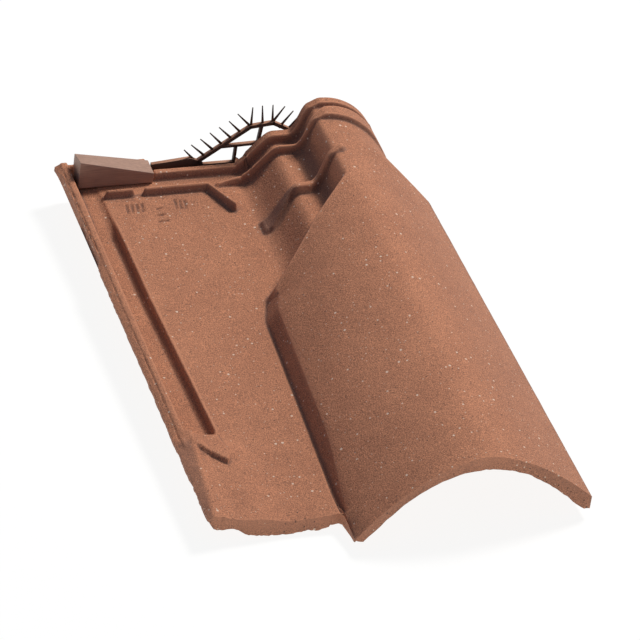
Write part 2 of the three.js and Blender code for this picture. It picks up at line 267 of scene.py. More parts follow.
@dataclass(frozen=True)
class TileForm:
    """All sizes of the clay body and the heights that follow from them."""

    shelf_end: float = 472.0
    head_end: float = 460.0
    head_step: Span = (158.5, 161.5)
    roll_tail: float = -9.0
    pan_tail: float = 18.6
    thinnest: float = 3.6

    rim_outer_x: float = 0.9
    rim_outer_z: float = 8.2
    rim_shoulder: Point = (4.8, 10.4)
    rim_flat_x: float = 6.0
    rim_width: float = 11.0
    rim_top_z: float = 11.8
    edge_dent: float = 1.2
    edge_dent_window: Window = (335.0, 350.0, 385.0, 410.0)
    edge_step: Ease = Ease(0.0, 2.8, 329.0, 341.0)
    edge_flare: Ease = Ease(0.0, -3.0, 454.0, 470.0)

    channel_floor: Outline = Outline(((386.0, -8.0), (402.0, -4.5), (446.0, -1.5)))
    channel_slope: Point = (13.5, 4.0)
    channel_foot_x: float = 17.0
    channel_end: Span = (119.5, 128.5)
    wall_at_head: Point = (32.0, 401.0)
    wall_taper: float = 0.0265
    wall_bow: Ease = Ease(0.0, 1.6, 290.0, 375.0)
    wall_run: Ease = Ease(5.0, -0.4, 150.0, 330.0)
    wall_hollow: tuple[Point, ...] = ((0.5, 0.76), (0.78, 0.45))
    bead_inset: float = 1.2
    bead_height: float = 0.55
    bead_width: float = 1.1
    bead_window: Window = (122.0, 132.0, 396.0, 406.0)

    slant_start: float = 22.0
    slant_run: float = 83.0
    tail_edge: Point = (9.0, -1.4)
    ridge: Point = (5.0, 7.5)
    ridge_z: float = 11.2
    ridge_flat: Point = (2.6, 0.3)
    ridge_foot: Point = (6.5, 7.5)
    ridge_foot_x: float = 18.0
    tail_ramp: tuple[Point, ...] = ((26.0, 4.6), (42.0, 2.8))
    knob: Point = (7.0, 107.0)
    knob_size: Point = (2.2, 5.0)
    knob_height: float = 1.7

    dish_depth: float = 2.4
    dish_end: Ease = Ease(1.0, -1.0, 400.0, 430.0)
    tail_rise: float = 2.8
    tail_rise_end_x: float = 68.0
    tail_rise_fade: Span = (94.0, 124.0)
    tail_rise_slope: float = 0.4
    bend_x: float = 40.0
    bend_run: float = 40.0
    dam_left: Point = (15.5, 103.0)
    dam_tip: Point = (36.5, 83.5)
    dam_slopes: Point = (-0.93, 0.5)
    dam_back: Point = (120.0, 0.5)
    dam_height: float = 4.6
    dam_window: Window = (13.0, 21.0, 37.0, 66.0)
    dam_step: Ease = Ease(1.6, 12.0, 36.5, 41.0)

    cover_foot_at_tail: float = 105.3
    cover_taper_start: float = 40.0
    cover_taper: float = 0.0556
    foot_bend: Ease = Ease(0.0, 6.5, 246.0, 276.0)
    groove: Ease = Ease(3.8, -1.8, 25.0, 110.0)
    groove_sink: Ease = Ease(4.2, -3.0, 10.0, 110.0)
    groove_window: Window = (17.0, 24.0, 225.0, 262.0)
    groove_side: float = 1.2
    cover_wall: Ease = Ease(2.0, 5.3, 10.0, 110.0)
    cover_wall_z: Ease = Ease(2.0, 13.0, 10.0, 110.0)
    crown_at_tail: float = 209.0
    crown_drift: float = 0.02
    crown_z_at_tail: float = 55.5
    crown_rise: float = 0.0155
    left_curve: float = 1.72
    right_curve: float = 1.65
    right_edge_x: float = 301.0
    right_edge_z: float = 4.3
    tip_fall: float = 5.0
    tip_fall_across: Span = (0.0, 10.0)
    tip_fall_along: Span = (4.0, 20.0)

    roll_tip_x: float = 107.6
    cut_foot: Point = (1.2, -3.0)
    tip_rounding: tuple[Point, ...] = ((1.8, 2.2), (4.2, 0.4))
    cut_curve_start: float = 9.7
    cut_curve_pull: Point = (47.0, -1.0)
    cut_curve_end: float = 208.0
    past_right: float = 330.0

    shoulder_x: float = 129.0
    shoulder_y: float = 271.5
    shoulder_slant: float = 0.96
    shoulder_run: float = 12.0

    lap_foot_x: float = 158.0
    bench_left_x: float = 180.0
    bench_right_x: float = 200.0
    bench_z: float = 28.0
    lap_crown_left_x: float = 216.0
    lap_crown_left_z: float = 57.0
    lap_crown_x: float = 221.0
    lap_crown_z: float = 61.0
    lap_right_x: float = 288.0
    lap_radii: tuple[float, ...] = (8.0, 4.5, 5.0, 3.0, 1.0)
    lap_turn: Span = (382.0, 412.0)
    right_edge_turn: Span = (388.0, 418.0)
    lap_drop: float = 4.0
    lap_curve: float = 2.4

    rib_shifts: tuple[Point, ...] = ((-5.0, 7.3), (-1.5, 8.0), (0.0, 8.0), (-9.0, 3.0), (-2.0, 5.0))
    rib_flank: float = 1.5
    crown_rib: Ease = Ease(5.0, -5.0, 256.0, 286.0)
    head_ribs: tuple[HeadRib, ...] = (
        HeadRib(80.5, 286.0, Outline(((0.0, 452.0),)), Ease(460.0, 4.0, 159.5, 161.5)),
        HeadRib(131.0, 284.0, Ease(436.0, -4.0, 215.0, 260.0), Ease(441.0, 9.0, 198.0, 226.0),
                lift=0.95, strength=Ease(0.4, 0.6, 131.0, 152.0)),
        HeadRib(151.5, 221.0,
                Outline(((152, 366), (159.5, 366.5), (176, 379.5), (192, 380), (204, 386), (222, 390))),
                Outline(((151, 381.5), (174, 386.5), (192, 388), (204, 394), (222, 397))),
                strength=Ease(0.35, 0.65, 154.0, 178.0)),
    )
    pan_rib_z: float = 7.3
    pan_rib_half: float = 2.4
    pan_rib_paths: tuple[tuple[Point, ...], ...] = (
        ((36.0, 434.3), (57.5, 434.3)),
        ((69.0, 434.3), (122.4, 434.3), (137.4, 404.4)),
    )
    lip_z: float = 9.0
    lip_rise: Span = (468.6, 470.4)
    lip_window: Window = (8.0, 10.0, 78.0, 80.0)
    softening: Point = (0.55, 0.5)

    under_middle: tuple[Point, ...] = ((0.9, 5.0), (13.0, -16.0), (36.0, -16.0), (44.0, -12.0))
    under_tail: tuple[Point, ...] = (
        (0.9, 7.0), (6.0, -2.2), (13.0, -4.4), (18.0, -3.9), (26.0, -5.5), (34.0, -12.0)
    )
    tail_rib: tuple[Point, ...] = (
        (27.0, 10.0), (28.5, -6.8), (37.5, -12.4), (47.0, -14.7), (55.0, -15.5), (91.0, -14.9), (101.0, -12.0)
    )
    under_turn: Span = (102.0, 132.0)
    tail_rib_fade: Span = (34.0, 50.0)
    foot_bottom_z: float = -7.2
    left_foot_z: Ease = Ease(-6.5, -5.5, 10.0, 22.0)
    left_foot_x: float = 120.0
    hollow_taper: float = 0.0874
    hollow_curve: float = 2.2
    hollow_right_curve: Span = (1.85, 2.3)
    crown_clay: float = 12.5
    right_clay: float = 7.0
    lap_hollow: tuple[Point, ...] = ((191.0, 14.0), (207.0, 15.0), (224.0, 43.0))
    lap_hollow_ends: Span = (168.0, 229.0)
    hollow_widening: Span = (4.0, 26.0)
    hollow_before_shoulder: float = 20.0
    hollow_reach: float = 60.0
    hollow_turn: Span = (360.0, 400.0)
    nib_bottom_z: float = -26.0
    nib_spans: tuple[Span, ...] = ((66.0, 108.0), (272.0, 287.0))
    nib_rows: Span = (424.0, 437.0)
    nib_draft: Span = (0.6, 1.6)

    # --- lines along the tile ---

    def outer_edge(self, y: Array) -> Array:
        """Return the x of the interlock's outer edge."""
        dent = self.edge_dent * window(self.edge_dent_window, y)
        return self.rim_outer_x + dent + self.edge_step.at(y) + self.edge_flare.at(y)

    def wall_top(self, y: Array) -> Array:
        """Return the x of the upper edge of the channel's wall."""
        wall_x, wall_y = self.wall_at_head
        return wall_x + (wall_y - y) * self.wall_taper + self.wall_bow.at(y)

    def wall_foot(self, y: Array) -> Array:
        """Return the x of the channel wall's lower edge."""
        return self.wall_top(y) - self.wall_run.at(y)

    def bead(self, x: Array, y: Array, width: float) -> Array:
        """Return the share of the low bead along the wall's upper edge."""
        return hump(self.wall_top(y) + self.bead_inset, width, x) * window(self.bead_window, y)

    def slant(self, y: Array) -> Array:
        """Return how far the rim's ridge has moved inwards near the tail, from 0 to 1."""
        return np.clip((y - self.slant_start) / self.slant_run, 0.0, 1.0)

    def ridge_x(self, y: Array) -> Array:
        """Return the x of the rim's ridge near the tail."""
        return self.ridge[0] + self.ridge[1] * self.slant(y)

    def cover_foot(self, y: Array) -> Array:
        """Return the x of the foot of the cover shape on the pan."""
        straight = self.cover_foot_at_tail + self.cover_taper * np.maximum(0.0, y - self.cover_taper_start)
        return straight + self.foot_bend.at(y)

    def groove_width(self, y: Array) -> Array:
        """Return the width of the narrow groove along the foot, which is wider at the tail."""
        return self.groove.at(y)

    def groove_depth(self, y: Array) -> Array:
        """Return the depth of the narrow groove along the foot, gone at the shoulder and past the pan."""
        return self.groove_sink.at(y) * window(self.groove_window, y)

    def shoulder_line(self, y: Array) -> Array:
        """Return the x where the cover shape begins: its wall's top, then the diagonal shoulder."""
        slanted = self.shoulder_x + (y - self.shoulder_y) * self.shoulder_slant
        return np.minimum(self.lap_crown_left_x - 1, np.maximum(self.cover_wall_top(y), slanted))

    def cover_wall_top(self, y: Array) -> Array:
        """Return the x where the cover's steep wall and its groove end."""
        return self.cover_foot(y) + self.groove_width(y) + self.cover_wall.at(y)

    def roll_foot(self, y: Array) -> Array:
        """Return the x where the pan ends against the roll or the lap."""
        outside = np.maximum(self.cover_foot(y), self.shoulder_line(y) - self.shoulder_run)
        return np.minimum(outside, self.lap_foot_x)

    def crown_x(self, y: Array) -> Array:
        """Return the x of the crown."""
        return np.minimum(self.crown_at_tail + self.crown_drift * y, self.lap_crown_x)

    def lap_rightness(self, y: Array) -> Array:
        """Return how far the right side has changed from the cover's section to the lap's."""
        return smooth(*self.lap_turn, y)

    def right_edge(self, y: Array) -> Array:
        """Return the x of the right edge."""
        return mix(self.right_edge_x, self.lap_right_x, smooth(*self.right_edge_turn, y))

    def tail_line(self, x: Array) -> Array:
        """Find the clay's end at the tail: the pan straight, the roll in a long curve.

        Args:
            x: Positions across the tile.

        Returns:
            The y of the end at each position.
        """
        foot, tip = self.roll_tip_x, self.roll_tail
        cut_x, cut_y = self.cut_foot
        pull_x, pull_y = self.cut_curve_pull
        t = np.linspace(0.0, 1.0, 60)
        start, pull, end = (1 - t) ** 2, 2 * t * (1 - t), t * t
        curve_x = start * (foot + self.cut_curve_start) + pull * (foot + pull_x) + end * self.cut_curve_end
        curve_y = start * tip + pull * pull_y
        rounding = [(foot + dx, tip + dy) for dx, dy in self.tip_rounding]
        pan = [(0.0, self.pan_tail), (foot, self.pan_tail), (foot + cut_x, cut_y)]
        line = pan + rounding + list(zip(curve_x, curve_y)) + [(self.past_right, 0.0)]
        return np.interp(x, *zip(*line))

    def head_line(self, x: Array) -> Array:
        """Return the y where the clay ends at the head: the pan's shelf reaches past the roll."""
        return mix(self.shelf_end, self.head_end, smooth(*self.head_step, x))

    # --- upper side ---

    def side_top(self, x: Array, y: Array) -> Array:
        """Shape rim, channel and channel wall, a plain ramp near the tail.

        Args:
            x: Positions across the tile.
            y: Positions along the tile.

        Returns:
            The height at each point.
        """
        wall, foot = self.wall_top(y), self.wall_foot(y)
        floor = self.channel_floor.at(y)
        slope_x, slope_z = self.channel_slope
        hollow = [(mix(foot, wall, run), floor * share) for run, share in self.wall_hollow]
        middle = [
            (self.rim_outer_x, self.rim_outer_z), self.rim_shoulder, (self.rim_flat_x, self.rim_top_z),
            (self.rim_width, self.rim_top_z), (slope_x, floor + slope_z), (self.channel_foot_x, floor),
            (foot, floor), *hollow, (wall, 0.0),
        ]
        ridge, (flat_x, flat_z), (foot_x, foot_z) = self.ridge_x(y), self.ridge_flat, self.ridge_foot
        tail = [
            (self.outer_edge(y), self.tail_edge[0] + self.tail_edge[1] * self.slant(y)),
            (ridge, self.ridge_z),
            (ridge + flat_x, self.ridge_z + flat_z), (np.maximum(self.ridge_foot_x, ridge + foot_x), foot_z),
            *self.tail_ramp,
        ]
        (knob_x, knob_y), (across, length) = self.knob, self.knob_size
        knob = self.knob_height * hump(knob_x, across, x) * hump(knob_y, length, y)
        start, end = self.channel_end
        return mix(along(tail, x) + knob, along(middle, x), np.clip((y - start) / (end - start), 0.0, 1.0))

    def past_bend(self, x: Array) -> Array:
        """Return how far x lies past the bend of the channel's end, within the bend's run."""
        return np.clip(x - self.bend_x, 0.0, self.bend_run)

    def pan_top(self, x: Array, y: Array) -> Array:
        """Shape the dished pan.

        Args:
            x: Positions across the tile.
            y: Positions along the tile.

        Returns:
            The height at each point.
        """
        wall = self.wall_top(y)
        t = np.clip((x - wall) / (self.roll_foot(y) - wall), 0.0, 1.0)
        dish = self.dish_depth * np.sin(np.pi * t) * self.dish_end.at(y)
        fade_low, fade_high = self.tail_rise_fade
        before_channel = 1 - smooth(fade_low, fade_high - self.tail_rise_slope * self.past_bend(x), y)
        return self.tail_rise * (1 - smooth(wall, self.tail_rise_end_x, x)) * before_channel - dish

    def dam(self, x: Array, y: Array) -> Array:
        """Shape the small wedge at the channel's end, steep towards the tail.

        Args:
            x: Positions across the tile.
            y: Positions along the tile.

        Returns:
            What the wedge adds at each point.
        """
        (left_x, left_y), (tip_x, tip_y) = self.dam_left, self.dam_tip
        to_tip, past_tip = self.dam_slopes
        front = np.where(x < tip_x, left_y + to_tip * (x - left_x), tip_y + past_tip * (x - tip_x))
        back = self.dam_back[0] - self.dam_back[1] * self.past_bend(x)
        lean = np.clip((back - y) / np.maximum(back - front, 1.0), 0.0, 1.0)
        step = smooth(0.0, self.dam_step.at(x), y - front)
        return self.dam_height * window(self.dam_window, x) * lean * step

    def crown_z(self, y: Array) -> Array:
        """Return the height of the crown."""
        return np.minimum(self.crown_z_at_tail + self.crown_rise * np.maximum(0, y), self.lap_crown_z)

    def cover_top(self, x: Array, y: Array) -> Array:
        """Shape the cover's dome, and the lap right of the crown.

        Args:
            x: Positions across the tile.
            y: Positions along the tile.

        Returns:
            The height at each point.
        """
        crown, top = self.crown_x(y), self.crown_z(y)
        fall = np.clip((crown - x) / (crown - self.cover_wall_top(y)), 0.0, 1.0) ** self.left_curve
        left = top - (top - self.cover_wall_z.at(y)) * fall
        t = np.clip((x - crown) / (self.right_edge(y) - crown), 0.0, 1.0)
        cover = top - (top - self.right_edge_z) * t**self.right_curve
        lap = top - (top + self.lap_drop) * t**self.lap_curve
        return np.where(x < crown, left, mix(cover, lap, self.lap_rightness(y)))

    def lap_top(self, x: Array, lift: float) -> Array:
        """Shape the lap's left side.

        Args:
            x: Positions across the tile.
            lift: 0 for the plain lap, 1 for the top of a full rib.

        Returns:
            The height at each position.
        """
        plain = (
            (self.lap_foot_x, 0.0), (self.bench_left_x, self.bench_z), (self.bench_right_x, self.bench_z),
            (self.lap_crown_left_x, self.lap_crown_left_z), (self.lap_crown_x, self.lap_crown_z),
        )
        corners = [(px + lift * dx, pz + lift * dz) for (px, pz), (dx, dz) in zip(plain, self.rib_shifts)]
        return along(corners, x) + eased(corners, self.lap_radii, x)

    def plain_top(self, x: Array, y: Array) -> Array:
        """Shape the upper side without ribs and marks.

        Args:
            x: Positions across the tile.
            y: Positions along the tile.

        Returns:
            The height at each point.
        """
        shoulder, foot = self.shoulder_line(y), self.roll_foot(y)
        reach = self.lap_radii[0]
        lap_share = smooth(self.lap_foot_x - 2 * reach, self.lap_foot_x, foot)
        fillet = np.where(np.abs(x - self.lap_foot_x) < reach, self.lap_top(x, 0.0), 0.0) * lap_share
        base = np.where(x < self.lap_foot_x, self.pan_top(x, y) + fillet, self.lap_top(x, 0.0))
        base = base - self.groove_depth(y) * np.clip((x - foot) / self.groove_side, 0.0, 1.0)
        groove = self.groove_width(y) * (1.0 - smooth(*self.groove_window[2:], y))
        ramp = np.maximum(foot + groove, shoulder - self.shoulder_run)
        t = np.clip((x - ramp) / (shoulder - ramp), 0.0, 1.0)
        cover = self.cover_top(x, y)
        body = np.where(x < shoulder, self.cover_top(shoulder, y), cover)
        body = mix(base, body, np.where(y > self.shoulder_y, smooth(0, 1, t), t))
        body = np.where(x >= self.crown_x(y), cover, body)
        near_tip = 1 - smooth(*self.tip_fall_across, x - self.roll_tip_x)
        near_tip = near_tip * (1 - smooth(*self.tip_fall_along, y))
        body = body - self.tip_fall * near_tip + self.bead_height * self.bead(x, y, self.bead_width)
        return np.where(x < self.wall_top(y), self.side_top(x, y), body) + self.dam(x, y)

    def rib_top(self, x: Array, lift: float) -> Array:
        """Find the top of a rib that runs over pan, lap and crown.

        Args:
            x: Positions across the tile.
            lift: The rib's share of the full height.

        Returns:
            The height at each position.
        """
        foot_x = self.lap_foot_x + self.rib_shifts[0][0]
        crown_x = self.lap_crown_x + self.rib_shifts[-1][0]
        crown = self.cover_top(x, np.full_like(x, self.head_end)) + lift * self.crown_rib.at(x)
        return np.where(x < crown_x, np.where(x < foot_x, self.pan_rib_z, self.lap_top(x, lift)), crown)

    def ribs(self, x: Array, y: Array, base: Array) -> Array:
        """Raise every rib of the head.

        Args:
            x: Positions across the tile.
            y: Positions along the tile.
            base: The height without ribs.

        Returns:
            The height with ribs.
        """
        height = base
        for rib in self.head_ribs:
            along_tile = np.minimum(y - rib.front.at(x), rib.back.at(x) - y)
            inside = np.minimum(along_tile, np.minimum(x - rib.left, rib.right - x))
            share = smooth(0.0, self.rib_flank, inside) * rib.strength.at(x)
            height = np.maximum(height, mix(base, np.maximum(base, self.rib_top(x, rib.lift)), share))
        for path in self.pan_rib_paths:
            away = np.min([distance(start, end, x, y) for start, end in zip(path, path[1:])], axis=0)
            share = 1 - smooth(self.pan_rib_half - self.rib_flank, self.pan_rib_half, away)
            height = np.maximum(height, mix(base, self.pan_rib_z, share))
        lip_share = smooth(*self.lip_rise, y) * window(self.lip_window, x)
        return np.maximum(height, mix(base, self.lip_z, lip_share))

    def top(self, x: Array, y: Array) -> Array:
        """Shape the upper side with its ribs, edges softened as pressed clay is.

        Args:
            x: Positions across the tile.
            y: Positions along the tile.

        Returns:
            The height at each point.
        """
        total, weight = 0.0, 0.0
        across, length = self.softening
        for dx, wx in ((-across, 1.0), (0.0, 2.0), (across, 1.0)):
            for dy, wy in ((-length, 1.0), (0.0, 2.0), (length, 1.0)):
                base = self.plain_top(x + dx, y + dy)
                total = total + wx * wy * self.ribs(x + dx, y + dy, base)
                weight += wx * wy
        return total / weight

    # --- underside ---

    def pan_bottom(self, x: Array, y: Array) -> Array:
        """Return the underside of pan and interlock, with the thick rib under the tail."""
        plain = mix(along(self.under_tail, x), along(self.under_middle, x), smooth(*self.under_turn, y))
        return mix(np.minimum(plain, along(self.tail_rib, x)), plain, smooth(*self.tail_rib_fade, y))

    def hollow_top(self, x: Array, y: Array) -> Array:
        """Shape the ceiling of the hollow under roll and lap.

        Args:
            x: Positions across the tile.
            y: Positions along the tile.

        Returns:
            The height at each point.
        """
        crown = self.crown_x(y)
        ceiling = self.crown_z(y) - self.crown_clay
        floor = self.left_foot_z.at(y)
        left = self.left_foot_x + self.hollow_taper * (y - self.pan_tail)
        t = np.clip((crown - x) / (crown - left), 0.0, 1.0)
        barrel = floor + (ceiling - floor) * (1 - t**self.hollow_curve)
        lap_start, lap_end = self.lap_hollow_ends
        lap = along([(lap_start, floor), *self.lap_hollow, (lap_end, ceiling)], x)
        wide = smooth(*self.hollow_widening, x - self.shoulder_line(y))
        before = y < self.shoulder_y - self.hollow_before_shoulder
        left_side = np.where(before, barrel, mix(lap, barrel, wide))
        curve = mix(*self.hollow_right_curve, self.lap_rightness(y))
        fall = np.clip((x - crown) / (self.right_edge(y) - self.right_clay - crown), 0.0, 1.0) ** curve
        inner = mix(barrel, lap, smooth(*self.hollow_turn, y))
        right_side = np.minimum(inner, ceiling - (ceiling - self.foot_bottom_z) * fall)
        return np.where(x < crown, left_side, right_side)

    def nib_share(self, span: Span, position: Array) -> Array:
        """Return the share of a nib between its two sides, which lean inwards."""
        (low, high), (out, into) = span, self.nib_draft
        return window((low - out, low + into, high - into, high + out), position)

    def bottom(self, x: Array, y: Array) -> Array:
        """Shape the underside, with the two hanging nibs under the head.

        Args:
            x: Positions across the tile.
            y: Positions along the tile.

        Returns:
            The height at each point.
        """
        pan = np.where(x < self.crown_x(y), self.pan_bottom(x, y), self.foot_bottom_z)
        under = np.where(x < self.lap_foot_x - self.hollow_reach, pan, np.maximum(pan, self.hollow_top(x, y)))
        under = np.minimum(under, self.plain_top(x, y) - self.thinnest)
        for span in self.nib_spans:
            under = mix(under, self.nib_bottom_z, self.nib_share(span, x) * self.nib_share(self.nib_rows, y))
        return under


# ---------------------------------------------------------------------------
# Finishes
# ---------------------------------------------------------------------------


class Nodes:
    """A node tree with short ways to add and join nodes."""

    def __init__(self, tree: bpy.types.NodeTree) -> None:
        """Keep the tree that the nodes go into."""
        self.tree = tree

    def add(self, kind: str, **values: object) -> bpy.types.Node:
        """Add a node and set its properties and unlinked inputs.

        Args:
            kind: The node's type name without the ShaderNode prefix.
            values: Properties by name, or inputs by name with spaces as underscores.

        Returns:
            The new node.
        """
        node = self.tree.nodes.new("ShaderNode" + kind)
        for name, value in values.items():
            if hasattr(node, name):
                setattr(node, name, value)
            else:
                self.put(node.inputs[name.replace("_", " ")], value)
        return node

    def put(self, socket: Socket, value: object) -> None:
        """Link an output to the socket, or set its plain value."""
        if isinstance(value, Socket):
            self.tree.links.new(value, socket)
        else:
            socket.default_value = value

    def maths(self, operation: str, *values: object) -> Socket:
        """Return the result of a Math node on the given values."""
        node = self.add("Math", operation=operation)
        for socket, value in zip(node.inputs, values):
            self.put(socket, value)
        return node.outputs[0]

    def ranged(self, value: object, low: float, high: float, to_low: float, to_high: float) -> Socket:
        """Return value mapped from one range to another, held within it."""
        node = self.add("MapRange", clamp=True)
        for socket, number in zip(node.inputs, (value, low, high, to_low, to_high)):
            self.put(socket, number)
        return node.outputs[0]

    def blend(self, share: object, a: object, b: object) -> Socket:
        """Return the colour mix of a and b."""
        node = self.add("Mix", data_type="RGBA")
        for index, value in ((0, share), (6, a), (7, b)):
            self.put(node.inputs[index], value)
        return node.outputs[2]


def colour4(colour: Colour) -> tuple[float, float, float, float]:
    """Return the colour with full alpha."""
    return (*colour, 1.0)


class Effect(Enum):
    """The shared shader groups."""

    GRAIN = "clay_grain"
    FLECKS = "flecks"
    STREAKS = "mould_streaks"


class EffectLibrary:
    """Builds each shared node group once."""

    def __init__(self) -> None:
        """Build all groups."""
        self.groups = {
            Effect.GRAIN: self._grain(),
            Effect.FLECKS: self._flecks(),
            Effect.STREAKS: self._streaks(),
        }

    def _new(self, effect: Effect, inputs: dict[str, float], outputs: list[str]) -> tuple[Nodes, dict, dict]:
        """Start a group.

        Args:
            effect: Which effect it is.
            inputs: Float inputs and their usual values; a Vector input is always there.
            outputs: Names of the float outputs.

        Returns:
            The node helper, the group's input sockets and its output sockets by name.
        """
        group = bpy.data.node_groups.new(effect.value, "ShaderNodeTree")
        group.interface.new_socket("Vector", in_out="INPUT", socket_type="NodeSocketVector")
        for name, value in inputs.items():
            socket = group.interface.new_socket(name, in_out="INPUT", socket_type="NodeSocketFloat")
            socket.default_value = value
        for name in outputs:
            group.interface.new_socket(name, in_out="OUTPUT", socket_type="NodeSocketFloat")
        start, end = group.nodes.new("NodeGroupInput"), group.nodes.new("NodeGroupOutput")
        return Nodes(group), {s.name: s for s in start.outputs}, {s.name: s for s in end.inputs}

    def _grain(self) -> bpy.types.NodeTree:
        """Return the group for mottle, fine grain and their height."""
        n, given, out = self._new(
            Effect.GRAIN, {"Grain": 900.0, "Mottle": 22.0}, ["Mottle", "Grain", "Height"]
        )
        mottle = n.add("TexNoise", Vector=given["Vector"], Scale=given["Mottle"], Detail=4.0, Roughness=0.6)
        fine = n.add("TexNoise", Vector=given["Vector"], Scale=given["Grain"], Detail=2.0, Roughness=0.7)
        sand_scale = n.maths("MULTIPLY", given["Grain"], 0.33)
        sand = n.add("TexNoise", Vector=given["Vector"], Scale=sand_scale, Detail=2.0, Roughness=0.5)
        n.put(out["Mottle"], n.ranged(mottle.outputs[0], 0.3, 0.7, 0.0, 1.0))
        n.put(out["Grain"], n.ranged(fine.outputs[0], 0.3, 0.7, 0.0, 1.0))
        fine_part = n.maths("MULTIPLY", fine.outputs[0], 0.55)
        n.put(out["Height"], n.maths("ADD", fine_part, n.maths("MULTIPLY", sand.outputs[0], 0.45)))
        return n.tree

    def _flecks(self) -> bpy.types.NodeTree:
        """Return the group for the mask of scattered round flecks."""
        n, given, out = self._new(Effect.FLECKS, {"Scale": 110.0, "Share": 0.4, "Size": 0.1}, ["Mask"])
        cells = n.add("TexVoronoi", Vector=given["Vector"], Scale=given["Scale"], Randomness=1.0)
        parts = n.add("SeparateColor", Color=cells.outputs["Color"])
        chosen = n.maths("LESS_THAN", parts.outputs[0], given["Share"])
        grown = n.ranged(parts.outputs[1], 0.0, 1.0, 0.35, 1.0)
        reach = n.maths("MULTIPLY", n.maths("MULTIPLY", grown, given["Size"]), chosen)
        wobble = n.add("TexNoise", Vector=given["Vector"], Scale=n.maths("MULTIPLY", given["Scale"], 6.0))
        away = n.maths("ADD", cells.outputs["Distance"], n.ranged(wobble.outputs[0], 0.0, 1.0, -0.02, 0.02))
        edge = n.maths("DIVIDE", n.maths("SUBTRACT", reach, away), 0.03)
        n.put(out["Mask"], n.maths("MINIMUM", n.maths("MAXIMUM", edge, 0.0), 1.0))
        return n.tree

    def _streaks(self) -> bpy.types.NodeTree:
        """Return the group for fine streaks along X left by a mould or a cut."""
        n, given, out = self._new(Effect.STREAKS, {"Scale": 60.0, "Stretch": 14.0}, ["Streaks", "Height"])
        across = n.maths("MULTIPLY", given["Scale"], given["Stretch"])
        scale = n.add("CombineXYZ", X=given["Scale"], Y=across, Z=across)
        stretched = n.add("VectorMath", operation="MULTIPLY")
        n.put(stretched.inputs[0], given["Vector"])
        n.put(stretched.inputs[1], scale.outputs[0])
        lines = n.add("TexNoise", Vector=stretched.outputs[0], Scale=1.0, Detail=3.0, Roughness=0.65)
        n.put(out["Streaks"], n.ranged(lines.outputs[0], 0.3, 0.7, 0.0, 1.0))
        n.put(out["Height"], lines.outputs[0])
        return n.tree

    def place(self, n: Nodes, effect: Effect, **values: object) -> bpy.types.Node:
        """Place a group in a material.

        Args:
            n: The material's nodes.
            effect: Which group.
            values: Its inputs by name.

        Returns:
            The group node.
        """
        node = n.add("Group", node_tree=self.groups[effect])
        for name, value in values.items():
            n.put(node.inputs[name], value)
        return node


@dataclass(frozen=True)
class ClayFinish:
    """Fired clay: mottled terracotta with fine grain, cream flecks and dark pits."""

    name: str
    light: Colour
    dark: Colour
    fleck: Colour
    pit: Colour
    fleck_share: float
    speck_share: float
    pit_share: float
    pit_size: float
    bump: float
    roughness: float = 0.86

    def build(self, effects: EffectLibrary) -> bpy.types.Material:
        """Return the material.

        Args:
            effects: The shared groups.

        Returns:
            A new material.
        """
        material = bpy.data.materials.new(self.name)
        material.use_nodes = True
        n = Nodes(material.node_tree)
        shader = material.node_tree.nodes["Principled BSDF"]
        place = n.add("TexCoord").outputs["Object"]
        grain = effects.place(n, Effect.GRAIN, Vector=place, Grain=1100.0, Mottle=24.0)
        cloud = effects.place(n, Effect.GRAIN, Vector=place, Grain=260.0, Mottle=95.0)
        spots = [
            (170.0, self.fleck_share, 0.2), (300.0, self.speck_share, 0.2),
            (260.0, self.pit_share, self.pit_size),
        ]
        flecks, specks, pits = (
            effects.place(n, Effect.FLECKS, Vector=place, Scale=scale, Share=share, Size=size).outputs["Mask"]
            for scale, share, size in spots
        )
        # Vertex share of painted highlight on raised edges, the tail's upper edge and the wall's bead.
        edge_highlight = n.add("Attribute", attribute_name="edge_highlight").outputs["Fac"]
        # Vertex share of painted shade in creases, valleys and on faces turned from the light.
        painted_shade = n.add("Attribute", attribute_name="painted_shade").outputs["Fac"]

        mottle = n.ranged(grain.outputs["Mottle"], 0, 1, 0.1, 0.9)
        body = n.blend(mottle, colour4(self.dark), colour4(self.light))
        body = n.blend(n.ranged(cloud.outputs["Mottle"], 0.35, 1, 0, 0.35), body, colour4(self.light))
        shade = n.maths("MULTIPLY", n.ranged(grain.outputs["Grain"], 0, 1, 0.42, 1.60),
                        n.ranged(cloud.outputs["Grain"], 0, 1, 0.94, 1.06))
        tinted = n.add("VectorMath", operation="SCALE")
        n.put(tinted.inputs[0], body)
        n.put(tinted.inputs["Scale"], shade)
        # Painted highlight: raised edges blend to a lighter clay colour.
        lit = tuple(min(1.0, c * 1.35 + 0.01) for c in self.light)
        body = n.blend(n.maths("MULTIPLY", edge_highlight, 0.6), tinted.outputs[0], colour4(lit))
        # Painted shade: creases, valleys and steep faces blend to a dark greyish clay colour.
        shaded = tuple(c * 0.16 + 0.045 for c in self.dark)
        body = n.blend(n.maths("MULTIPLY", painted_shade, 0.54), body, colour4(shaded))
        body = n.blend(n.maths("MULTIPLY", flecks, 0.75), body, colour4(self.fleck))
        body = n.blend(n.maths("MULTIPLY", specks, 0.5), body, colour4(self.fleck))
        body = n.blend(n.maths("MULTIPLY", pits, 0.85), body, colour4(self.pit))
        n.put(shader.inputs["Base Color"], body)
        roughness = n.ranged(grain.outputs["Grain"], 0, 1, self.roughness - 0.06, self.roughness + 0.06)
        n.put(shader.inputs["Roughness"], roughness)
        height = n.maths("SUBTRACT", grain.outputs["Height"], n.maths("MULTIPLY", pits, 0.9))
        bump = n.add("Bump", Strength=self.bump, Distance=0.0008, Height=height)
        n.put(shader.inputs["Normal"], bump.outputs[0])
        return material


